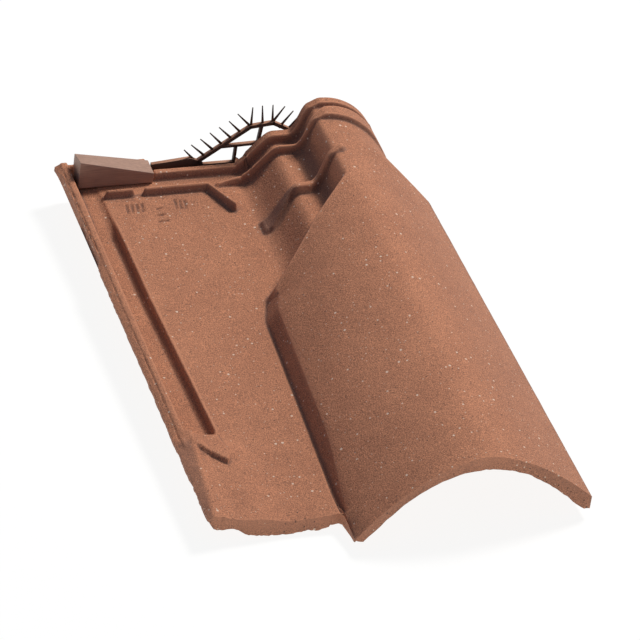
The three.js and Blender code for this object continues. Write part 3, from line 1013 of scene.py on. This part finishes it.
@dataclass(frozen=True)
class PlasticFinish:
    """Brown moulded plastic with a satin skin and fine streaks."""

    name: str
    light: Colour
    dark: Colour
    streak_scale: float
    stretch: float
    contrast: float
    roughness: float = 0.5
    gloss: float = 0.3

    def build(self, effects: EffectLibrary) -> bpy.types.Material:
        """Return the material.

        Args:
            effects: The shared groups.

        Returns:
            A new material.
        """
        material = bpy.data.materials.new(self.name)
        material.use_nodes = True
        n = Nodes(material.node_tree)
        shader = material.node_tree.nodes["Principled BSDF"]
        place = n.add("TexCoord").outputs["Object"]
        streaks = effects.place(
            n, Effect.STREAKS, Vector=place, Scale=self.streak_scale, Stretch=self.stretch
        )
        grain = effects.place(n, Effect.GRAIN, Vector=place, Grain=1500.0, Mottle=60.0)
        share = n.maths("ADD", n.ranged(streaks.outputs["Streaks"], 0, 1, 0, self.contrast),
                        n.ranged(grain.outputs["Mottle"], 0, 1, 0, 1 - self.contrast))
        n.put(shader.inputs["Base Color"], n.blend(share, colour4(self.dark), colour4(self.light)))
        n.put(shader.inputs["Roughness"],
              n.ranged(grain.outputs["Grain"], 0, 1, self.roughness - 0.05, self.roughness + 0.08))
        height = n.maths("ADD", n.maths("MULTIPLY", streaks.outputs["Height"], 0.7),
                         n.maths("MULTIPLY", grain.outputs["Height"], 0.3))
        bump = n.add("Bump", Strength=0.25, Distance=0.0003, Height=height)
        n.put(shader.inputs["Normal"], bump.outputs[0])
        shader.inputs["Specular IOR Level"].default_value = self.gloss
        return material


class Finishes:
    """All materials of the part."""

    def __init__(self) -> None:
        """Build every finish once."""
        effects = EffectLibrary()
        flecks = dict(fleck=(0.80, 0.62, 0.47), pit=(0.06, 0.04, 0.03))
        self.clay = ClayFinish(
            "fired_clay", light=(0.475, 0.195, 0.098), dark=(0.385, 0.152, 0.076),
            fleck_share=0.4, speck_share=0.4, pit_share=0.3, pit_size=0.16, bump=1.0, **flecks
        ).build(effects)
        # The cut walls: a darker copy of the clay with more pits; the darker colour is painted shade that
        # tones down their light.
        self.cut_clay = ClayFinish(
            "cut_clay_edge", light=(0.41, 0.170, 0.090), dark=(0.32, 0.130, 0.070),
            fleck_share=0.3, speck_share=0.3, pit_share=0.5, pit_size=0.2, bump=1.0, **flecks
        ).build(effects)
        self.block = PlasticFinish(
            "block_plastic", light=(0.50, 0.295, 0.205), dark=(0.31, 0.185, 0.132),
            streak_scale=45.0, stretch=22.0, contrast=0.75
        ).build(effects)
        # Dark brown plastic, darkened further as painted shade on the comb's faces; the lit copy below paints
        # a highlight on its upward faces.
        self.comb = PlasticFinish(
            "comb_plastic", light=(0.105, 0.056, 0.038), dark=(0.042, 0.025, 0.019),
            streak_scale=90.0, stretch=4.0, contrast=0.4
        ).build(effects)
        self.lit_comb = PlasticFinish(
            "comb_lit_top", light=(0.55, 0.27, 0.155), dark=(0.30, 0.14, 0.08),
            streak_scale=120.0, stretch=3.0, contrast=0.5
        ).build(effects)


# ---------------------------------------------------------------------------
# Pieces
# ---------------------------------------------------------------------------


class Piece:
    """A finished mesh that rides on the part."""

    body = "root"

    def __init__(self, name: str, slot: str, replaced: str) -> None:
        """Name the piece, its material slot and the solid that it stands for."""
        self.name, self.slot, self.replaced = name, slot, replaced

    def hand_over(
        self, bm: bmesh.types.BMesh, materials: list[bpy.types.Material], placed: Matrix
    ) -> bpy.types.Object:
        """Turn the bmesh into an object that stands for its solid.

        Args:
            bm: The shaped mesh in drawn millimetres; it is freed.
            materials: Materials by face index.
            placed: Matrix from the drawing to the row frame.

        Returns:
            The new object.
        """
        bmesh.ops.transform(bm, matrix=placed, verts=bm.verts)
        mesh = bpy.data.meshes.new(self.name)
        bm.to_mesh(mesh)
        bm.free()
        for material in materials:
            mesh.materials.append(material)
        piece = bpy.data.objects.new(self.name, mesh)
        bpy.context.scene.collection.objects.link(piece)
        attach(piece, self.body)
        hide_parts(self.replaced)
        triangles = sum(len(face.vertices) - 2 for face in mesh.polygons)
        log.info("%s: %d triangles", self.name, triangles)
        return piece


@dataclass
class ClayTile(Piece):
    """The pressed clay body on a fine grid whose lines follow the form."""

    form: TileForm = field(default_factory=TileForm)
    wall_cuts: int = 3
    edge_round: float = 0.9
    chip_rise: float = 1.6
    side_chip: float = 1.3
    seed: float = 7.3
    wave: float = 0.22
    wave_lengths: Span = (17.0, 4.5)
    fine_wave_share: float = 0.45
    fine_wave_shift: float = 9.0
    wave_level: float = 0.6
    rough_rim: float = 2.5
    rough_rim_x: Span = (9.0, 15.0)
    rough_rim_y: Span = (102.0, 112.0)
    rim_groove: Point = (5.4, 0.7)
    rim_groove_window: Window = (96.0, 120.0, 458.0, 468.0)
    rim_groove_depth: Span = (0.15, 1.5)
    rim_groove_mean: float = 0.75
    rim_groove_sway: float = 1.1
    rim_groove_length: float = 9.0
    stroke_rows: tuple[StrokeRow, ...] = (
        StrokeRow((48.5, 412.0), (49.7, 422.5), (4.4, 0.0), (4.4, 0.0), count=4, depth=1.9, stagger=1.5),
        StrokeRow((71.5, 399.0), (79.5, 400.0), (1.0, 8.0), (-1.0, 8.0), count=3, depth=1.8),
        StrokeRow((90.5, 414.0), (91.5, 424.5), (4.0, 0.0), (4.0, -1.0), count=3, depth=1.9),
    )
    row_steps: tuple[Point, ...] = (
        (-9.0, 1.6), (24.0, 2.4), (83.0, 1.0), (113.0, 1.4), (133.0, 6.0),
        (240.0, 2.4), (290.0, 2.8), (356.0, 1.1), (394.0, 0.85),
    )
    tail_fit_end: float = 66.0
    head_fit_start: float = 425.0
    near_reach: float = 1.7
    far_reach: float = 6.0
    slope_reach: float = 0.7
    # Width of the painted highlight along the wall's bead.
    highlight_bead_width: float = 1.2

    def __post_init__(self) -> None:
        """Name the piece."""
        super().__init__("clay_tile", "clay", "tile_body")

    # Stretches across the tile: a line of x along y, and the number of divisions up to the next one.
    def columns(self, y: Array) -> Array:
        """Return the x of every mesh column at each y.

        Args:
            y: One y per row.

        Returns:
            An array of rows by columns.
        """
        f = self.form
        wall = f.wall_top(y)
        foot = f.roll_foot(y)
        shoulder = f.shoulder_line(y)
        lines = [
            (f.outer_edge(y), 4),
            (4.4 + 0 * y, 4),
            (6.4 + 0 * y, 4),
            (f.rim_width + 0 * y, 6),
            (17.0 + 0 * y, 14),
            (f.wall_foot(y), 5),
            (wall, 7),
            (44.0 + 0 * y, 50),
            (mix(44.0, foot, 0.5), 56),
            (foot, 3),
            (foot + f.groove_width(y), 36),
            (np.maximum(shoulder, foot + f.groove_width(y) + 1), 23),
            (f.crown_x(y), 33),
            (f.right_edge(y) - 2.0, 3),
        ]
        parts = []
        ends = [line for line, _ in lines] + [f.right_edge(y)]
        for (line, count), stop in zip(lines, ends[1:]):
            parts += [mix(line, stop, i / count) for i in range(count)]
        return np.stack(parts + [f.right_edge(y)], axis=1)

    def rows(self) -> Array:
        """Return the y of every mesh row before the ends are fitted to tail and head."""
        ys = spaced(self.row_steps, self.form.shelf_end)
        if len(ys) % 2 == 0:
            ys = np.append(ys[:-1], [(ys[-2] + ys[-1]) / 2, ys[-1]])
        return ys

    def plan(self) -> tuple[Array, Array]:
        """Place every grid point within tail line and head line.

        Returns:
            The x and the y of each point, rows by columns.
        """
        f = self.form
        ys = self.rows()
        x = self.columns(ys)
        y = np.repeat(ys[:, None], x.shape[1], axis=1)
        for _ in range(3):
            tail_share = 1 - smooth(f.roll_tail, self.tail_fit_end, ys)
            at_tail = (f.tail_line(x) - f.roll_tail) * tail_share[:, None]
            at_head = (f.head_line(x) - f.shelf_end) * smooth(self.head_fit_start, f.shelf_end, ys)[:, None]
            y = ys[:, None] + at_tail + at_head
        return x, y

    def marks(self) -> list[Stroke]:
        """Return the shallow marks: rows of plain strokes on the pan."""
        return [stroke for row in self.stroke_rows for stroke in row.strokes()]

    def heights(self, x: Array, y: Array) -> Array:
        """Add the marks and the slight waves of pressed clay to the form.

        Args:
            x: Plan positions across.
            y: Plan positions along.

        Returns:
            The finished upper height.
        """
        f = self.form
        z = f.top(x, y)
        for stroke in self.marks():
            z = z - stroke.field(x, y)
        groove = hump(*self.rim_groove, x) * window(self.rim_groove_window, y)
        length = self.rim_groove_length
        sway = np.array([[noise.noise((0.0, py / length, self.seed))] for py in y[:, 0]])
        z = z - np.clip(self.rim_groove_mean + self.rim_groove_sway * sway, *self.rim_groove_depth) * groove
        waves = np.array([self.wave_at(px, py) for px, py in zip(x.ravel(), y.ravel())]).reshape(x.shape)
        rough = (1 - smooth(*self.rough_rim_x, x)) * (1 - smooth(*self.rough_rim_y, y))
        return z + self.wave * (waves * (1.0 + self.rough_rim * rough) - self.wave_level)

    def wave_at(self, x: float, y: float) -> float:
        """Return the slight wave of the clay at one point, a long one and a fine one together."""
        long, fine = self.wave_lengths
        slow = noise.noise((x / long, y / long, self.seed))
        fast = noise.noise((x / fine, y / fine, self.seed + self.fine_wave_shift))
        return slow + self.fine_wave_share * fast

    def ring(self, x: Array, y: Array, reach: float) -> Array:
        """Measure how far each point stands above a ring of points round it.

        Args:
            x: Plan positions across.
            y: Plan positions along.
            reach: Radius of the ring.

        Returns:
            The height above the ring's mean, below zero in a hollow.
        """
        steps = [(reach, 0.0), (-reach, 0.0), (0.0, reach), (0.0, -reach)]
        around = sum(self.form.top(x + dx, y + dy) for dx, dy in steps) / len(steps)
        return self.form.top(x, y) - around

    def painted_light_shares(self, x: Array, y: Array) -> tuple[Array, Array]:
        """Return how much painted highlight and painted shade each point takes.

        Args:
            x: Plan positions across.
            y: Plan positions along.

        Returns:
            Painted highlight share on raised edges, and painted shade share in creases, valleys and on steep
            faces at the head.
        """
        f = self.form
        marked = sum(stroke.field(x, y) for stroke in self.marks())
        near = self.ring(x, y, self.near_reach) - 0.9 * marked
        calm = 1.0 - 0.75 * (1 - smooth(126, 140, y)) - 0.5 * (1 - smooth(40, 60, x)) * smooth(126, 140, y)
        # Painted highlight on raised edges, weaker towards the tail and on the left strip.
        edge_highlight = np.clip(near / 0.6, 0.0, 1.0) * calm
        # Painted shade in wide valleys, stronger towards the head.
        valley = np.clip(-self.ring(x, y, self.far_reach) / 3.2 - 0.1, 0.0, 1.0)
        valley = valley * (0.3 + 0.7 * smooth(280, 360, y))
        rise = (f.top(x, y + self.slope_reach) - f.top(x, y - self.slope_reach)) / (2 * self.slope_reach)
        # Painted shade on steep faces at the head that face the tail.
        steep = smooth(0.7, 2.0, rise) * smooth(355, 365, y)
        # Painted shade on the rim's facet near the tail.
        facet = 0.55 * (1 - smooth(-1.0, 1.5, x - f.ridge_x(y))) * (1 - smooth(*self.rough_rim_y, y))
        # Painted highlight along the tail's upper edge and on the wall's bead.
        edge = 0.6 * (1 - smooth(0.3, 1.8, y - f.tail_line(x)))
        edge = edge + 0.55 * f.bead(x, y, self.highlight_bead_width)
        # Darker towards the roll's right side, blended to the painted-shade colour.
        right_side = 0.25 * smooth(222, 262, x)
        blunt = f.head_ribs[-1]
        # Painted shadow over the band at the blunt rib's low end, with no painted highlight there.
        band = smooth(-1.5, 0.5, np.minimum(y - blunt.front.at(x), blunt.back.at(x) - y))
        band = 0.95 * band * window((150.0, 152.0, 174.0, 183.0), x)
        edge_highlight = edge_highlight * (1 - band)
        # All painted shade together: creases, valleys, steep faces, the rim's facet, the right side and the
        # rib's band.
        shading = np.maximum(-near / 0.7, 0) + 0.8 * valley + 0.55 * steep + facet + right_side + band
        return np.clip(edge_highlight + edge, 0.0, 1.0), np.clip(shading, 0.0, 1.0)

    def build(self, finishes: Finishes, placed: Matrix) -> bpy.types.Object:
        """Shape the body and hand it over.

        Args:
            finishes: The materials.
            placed: Matrix from the drawing to the row frame.

        Returns:
            The clay tile.
        """
        x, y = self.plan()
        z = self.heights(x, y)
        # Shares of painted highlight and painted shade for each vertex of the clay.
        highlight_share, shade_share = self.painted_light_shares(x, y)
        row_count, column_count = x.shape[0] - 1, x.shape[1] - 1
        bm = bmesh.new()
        edge_highlight = bm.verts.layers.float.new("edge_highlight")
        painted_shade = bm.verts.layers.float.new("painted_shade")

        upper = bmesh.ops.create_grid(bm, x_segments=column_count, y_segments=row_count, size=1.0)["verts"]
        for vert in upper:
            column = round((vert.co.x + 1) / 2 * column_count)
            row = round((vert.co.y + 1) / 2 * row_count)
            vert.co = (x[row, column], y[row, column], z[row, column])
            vert[edge_highlight] = highlight_share[row, column]
            vert[painted_shade] = shade_share[row, column]
        upper_set = set(upper)

        low_x, low_y = x[::2, ::2], y[::2, ::2]
        low_z = self.form.bottom(low_x, low_y)
        lower = bmesh.ops.create_grid(
            bm, x_segments=column_count // 2, y_segments=row_count // 2, size=1.0
        )["verts"]
        for vert in lower:
            column = round((vert.co.x + 1) * column_count / 4)
            row = round((vert.co.y + 1) * row_count / 4)
            vert.co = (low_x[row, column], low_y[row, column], low_z[row, column])
        rim = [e for e in bm.edges if e.is_boundary and e.verts[0] not in upper_set]
        bmesh.ops.subdivide_edges(bm, edges=rim, cuts=1)

        border = [e for e in bm.edges if e.is_boundary]
        walls = bmesh.ops.bridge_loops(bm, edges=border)["faces"]
        for face in walls:
            face.material_index = 1
        upright = [e for e in bm.edges if (e.verts[0] in upper_set) != (e.verts[1] in upper_set)]
        bmesh.ops.subdivide_edges(bm, edges=upright, cuts=self.wall_cuts, use_grid_fill=True)
        bmesh.ops.recalc_face_normals(bm, faces=bm.faces)
        self.roughen(bm)
        for face in bm.faces:
            face.smooth = True
        return self.hand_over(bm, [finishes.clay, finishes.cut_clay], placed)

    def roughen(self, bm: bmesh.types.BMesh) -> None:
        """Round the upper edge and press small hollows into the cut walls.

        Args:
            bm: The tile's mesh, with the walls as material 1.
        """
        corner = [e for e in bm.edges if sorted(f.material_index for f in e.link_faces) == [0, 1]]
        top_edge = [
            e for e in corner if any(f.normal.z > 0.2 for f in e.link_faces if f.material_index == 0)
        ]
        bmesh.ops.bevel(
            bm, geom=top_edge, offset=self.edge_round, segments=2, profile=0.5, affect="EDGES", material=-1,
            clamp_overlap=True,
        )
        bm.normal_update()
        for vert in {v for f in bm.faces if f.material_index == 1 for v in f.verts}:
            kinds = {f.material_index for f in vert.link_faces}
            hidden = all(f.normal.z < 0.5 for f in vert.link_faces)
            if not hidden:
                continue
            chip = noise.noise(vert.co * 0.14) + 0.5 * noise.noise(vert.co * 0.4)
            if kinds == {1}:
                vert.co -= vert.normal * max(0.0, 0.3 + 0.55 * chip)
            else:
                vert.co.z += self.chip_rise * max(0.0, 0.15 + chip)
                if vert.co.x < 8.0:
                    vert.co.x += self.side_chip * max(0.0, 0.1 + noise.noise(vert.co * 0.3))


@dataclass
class SpacerBlock(Piece):
    """The wedge between the rim and the end of the head rib."""

    left: float = 15.5
    right: float = 79.8
    front: float = 449.0
    back: float = 468.0
    base: float = 0.6
    left_front_z: float = 26.8
    left_back_z: float = 23.0
    right_z: float = 10.2
    edge: float = 0.5

    def __post_init__(self) -> None:
        """Name the piece."""
        super().__init__("wedge_block", "plastic", "spacer_block")

    def build(self, finishes: Finishes, placed: Matrix) -> bpy.types.Object:
        """Shape the wedge with softened edges and hand it over.

        Args:
            finishes: The materials.
            placed: Matrix from the drawing to the row frame.

        Returns:
            The spacer block.
        """
        bm = bmesh.new()
        for vert in bmesh.ops.create_cube(bm, size=2.0)["verts"]:
            east, north, upper = vert.co.x > 0, vert.co.y > 0, vert.co.z > 0
            left_z = self.left_back_z if north else self.left_front_z
            high = self.right_z if east else left_z
            vert.co = (
                self.right if east else self.left,
                self.back if north else self.front,
                high if upper else self.base,
            )
        bmesh.ops.subdivide_edges(bm, edges=bm.edges, cuts=5, use_grid_fill=True)
        sharp = [e for e in bm.edges if e.calc_face_angle(0.0) > 0.6]
        bmesh.ops.bevel(
            bm, geom=sharp, offset=self.edge, segments=3, profile=0.5, affect="EDGES", material=-1
        )
        for face in bm.faces:
            face.smooth = True
        return self.hand_over(bm, [finishes.block], placed)


@dataclass
class VentComb(Piece):
    """The comb: bars with softened edges and tapering bird spikes."""

    plane_y: float = 466.0
    thickness: float = 3.6
    bar: float = 3.4
    thin_bar: float = 2.6
    spike_radius: float = 1.3
    spike_root: float = 3.8
    gap: float = 0.3
    tip_share: float = 0.38
    plate_top: tuple[Point, ...] = ((82.0, 8.0), (116.0, 11.4), (127.0, 5.6))

    def __post_init__(self) -> None:
        """Name the piece."""
        super().__init__("bird_comb", "plastic", "vent_comb")

    def bars(self) -> list[tuple[Point, Point, float]]:
        """Return both ends and the width of each bar, as x and z."""
        ramp_foot, ramp_top, crown_end, slope_end = (122.6, 6.8), (165.3, 37.7), (185.0, 39.8), (209.0, 26.6)
        return [
            (ramp_foot, ramp_top, self.bar),
            (ramp_top, crown_end, self.bar),
            (crown_end, slope_end, self.bar),
            ((126.0, 2.3), (155.5, 2.3), self.bar),
            ((142.5, 19.8), (206.0, 21.5), self.thin_bar),
            ((206.0, 21.5), slope_end, self.thin_bar),
            ((154.2, 3.0), (154.6, 20.5), 2.4),
            ((173.5, 20.5), (175.0, 37.0), self.thin_bar),
        ]

    def spikes(self) -> list[tuple[Point, Point]]:
        """Return root and tip of each spike, as x and z: up the ramp, on the crown, down the slope."""
        return [
            ((117.9, 9.7), (109.7, 19.0)),
            ((126.4, 13.1), (115.4, 23.5)),
            ((133.4, 18.4), (122.8, 28.7)),
            ((140.4, 23.7), (130.5, 34.2)),
            ((148.2, 28.8), (138.0, 39.1)),
            ((155.9, 34.0), (146.0, 44.5)),
            ((164.1, 39.2), (152.9, 51.1)),
            ((165.7, 39.9), (165.3, 56.7)),
            ((175.6, 40.6), (173.6, 57.6)),
            ((184.2, 41.5), (182.8, 57.6)),
            ((185.6, 42.3), (193.5, 55.3)),
            ((192.8, 37.4), (201.5, 50.1)),
            ((199.9, 33.5), (207.3, 44.5)),
        ]

    def add_bar(self, bm: bmesh.types.BMesh, start: Point, end: Point, width: float) -> None:
        """Add one bar between two points of the comb's plane.

        Args:
            bm: The comb's mesh.
            start: One end as x and z.
            end: The other end as x and z.
            width: Height of the bar's section.
        """
        run, rise = end[0] - start[0], end[1] - start[1]
        size = Matrix.Diagonal((math.hypot(run, rise) + width * 0.6, self.thickness, width, 1.0))
        turn = Matrix.Rotation(-math.atan2(rise, run), 4, "Y")
        middle = Vector(((start[0] + end[0]) / 2, self.plane_y, (start[1] + end[1]) / 2))
        bmesh.ops.create_cube(bm, size=1.0, matrix=Matrix.Translation(middle) @ turn @ size)

    def add_spike(self, bm: bmesh.types.BMesh, root: Point, tip: Point) -> None:
        """Add one spike.

        Args:
            bm: The comb's mesh.
            root: Its foot as x and z.
            tip: Its end as x and z.
        """
        run, rise = tip[0] - root[0], tip[1] - root[1]
        length = math.hypot(run, rise) + self.spike_root
        turn = Matrix.Rotation(math.atan2(run, rise), 4, "Y")
        lift = Matrix.Translation((0, 0, length / 2 - self.spike_root))
        at = Matrix.Translation((root[0], self.plane_y, root[1]))
        bmesh.ops.create_cone(
            bm, cap_ends=True, segments=12, radius1=self.spike_radius,
            radius2=self.spike_radius * self.tip_share, depth=length, matrix=at @ turn @ lift,
        )

    def add_plate(self, bm: bmesh.types.BMesh) -> None:
        """Add the solid plate at the comb's left end.

        Args:
            bm: The comb's mesh.
        """
        (left, left_z), (peak, peak_z), (right, right_z) = self.plate_top
        corners = {
            (0, 0): (left, self.gap), (0, 1): (left, left_z),
            (1, 0): (right, self.gap), (1, 1): (right, right_z),
        }
        verts = bmesh.ops.create_cube(bm, size=2.0)["verts"]
        for vert in verts:
            px, pz = corners[(int(vert.co.x > 0), int(vert.co.z > 0))]
            vert.co = (px, self.plane_y + math.copysign(self.thickness / 2, vert.co.y), pz)
        edges = [e for e in bm.edges if e.verts[0] in verts]
        long_edges = [e for e in edges if abs(e.verts[0].co.x - e.verts[1].co.x) > self.bar]
        cut = bmesh.ops.subdivide_edges(bm, edges=long_edges, cuts=1)["geom_inner"]
        for vert in cut:
            if isinstance(vert, bmesh.types.BMVert):
                vert.co.x = peak
                if vert.co.z > self.bar:
                    vert.co.z = peak_z

    def build(self, finishes: Finishes, placed: Matrix) -> bpy.types.Object:
        """Shape the comb and hand it over.

        Args:
            finishes: The materials.
            placed: Matrix from the drawing to the row frame.

        Returns:
            The comb.
        """
        bm = bmesh.new()
        for start, end, width in self.bars():
            self.add_bar(bm, start, end, width)
        self.add_plate(bm)
        sharp = [e for e in bm.edges if e.calc_face_angle(0.0) > 0.6]
        bmesh.ops.bevel(bm, geom=sharp, offset=0.35, segments=2, profile=0.5, affect="EDGES", material=-1)
        bm.normal_update()
        # Upward faces take the comb's lit copy: a painted highlight.
        for face in bm.faces:
            face.material_index = int(face.normal.z > 0.6)
        for root, tip in self.spikes():
            self.add_spike(bm, root, tip)
        for face in bm.faces:
            face.smooth = True
        return self.hand_over(bm, [finishes.comb, finishes.lit_comb], placed)


# ---------------------------------------------------------------------------
# Studio
# ---------------------------------------------------------------------------


@dataclass(frozen=True)
class Lamp:
    """A soft rectangular light aimed at the part."""

    name: str
    place: tuple[float, float, float]
    size: float
    power: float
    colour: Colour = (1.0, 1.0, 1.0)


@dataclass(frozen=True)
class Studio:
    """Camera, pale floor and soft light."""

    camera_place: tuple[float, float, float] = (-0.93545431, -2.28765230, 1.79181605)
    camera_turn: tuple[float, float, float] = (54.35271693, -6.39859829, -17.76648881)
    lens: float = 216.0647
    lamps: tuple[Lamp, ...] = (
        Lamp("key", (2.5, 1.5, 4.4), 1.2, 262.0, (1.0, 0.97, 0.93)),
    )
    world: float = 0.21
    world_colour: Colour = (0.78, 0.97, 1.38)
    floor_glow: float = 0.9

    def camera(self) -> None:
        """Set the camera at the photograph's view."""
        data = bpy.data.cameras.new("camera")
        data.lens, data.sensor_width = self.lens, 36.0
        camera = bpy.data.objects.new("camera", data)
        camera.location = self.camera_place
        camera.rotation_euler = Euler([math.radians(a) for a in self.camera_turn], "XYZ")
        bpy.context.scene.collection.objects.link(camera)
        bpy.context.scene.camera = camera

    def light(self) -> None:
        """Set the lamps and the even light from all round."""
        for lamp in self.lamps:
            data = bpy.data.lights.new(lamp.name, "AREA")
            data.size, data.energy, data.color = lamp.size, lamp.power, lamp.colour
            light = bpy.data.objects.new(lamp.name, data)
            light.location = lamp.place
            light.rotation_euler = (-Vector(lamp.place)).to_track_quat("-Z", "Y").to_euler()
            bpy.context.scene.collection.objects.link(light)
        world = bpy.data.worlds.new("even_light")
        world.use_nodes = True
        world.node_tree.nodes["Background"].inputs["Color"].default_value = colour4(self.world_colour)
        world.node_tree.nodes["Background"].inputs["Strength"].default_value = self.world
        bpy.context.scene.world = world
        bpy.context.scene.view_settings.view_transform = "Standard"

    def floor(self) -> None:
        """Lay the pale floor under the part."""
        bm = bmesh.new()
        bmesh.ops.create_grid(bm, x_segments=1, y_segments=1, size=8.0)
        mesh = bpy.data.meshes.new("floor")
        bm.to_mesh(mesh)
        bm.free()
        material = bpy.data.materials.new("pale_floor")
        material.use_nodes = True
        shader = material.node_tree.nodes["Principled BSDF"]
        shader.inputs["Base Color"].default_value = (0.10, 0.10, 0.10, 1.0)
        shader.inputs["Roughness"].default_value = 0.95
        shader.inputs["Emission Color"].default_value = (1.0, 1.0, 0.99, 1.0)
        shader.inputs["Emission Strength"].default_value = self.floor_glow
        mesh.materials.append(material)
        floor = bpy.data.objects.new("floor", mesh)
        bpy.context.scene.collection.objects.link(floor)


def main() -> None:
    """Build the studio and every piece."""
    logging.basicConfig(level=logging.INFO, format="%(name)s %(message)s")
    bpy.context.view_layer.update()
    studio = Studio()
    studio.camera()
    studio.light()
    studio.floor()
    placed = RowFrame().matrix
    finishes = Finishes()
    for piece in (ClayTile(), SpacerBlock(), VentComb()):
        piece.build(finishes, placed)


if __name__ == "__main__":
    main()
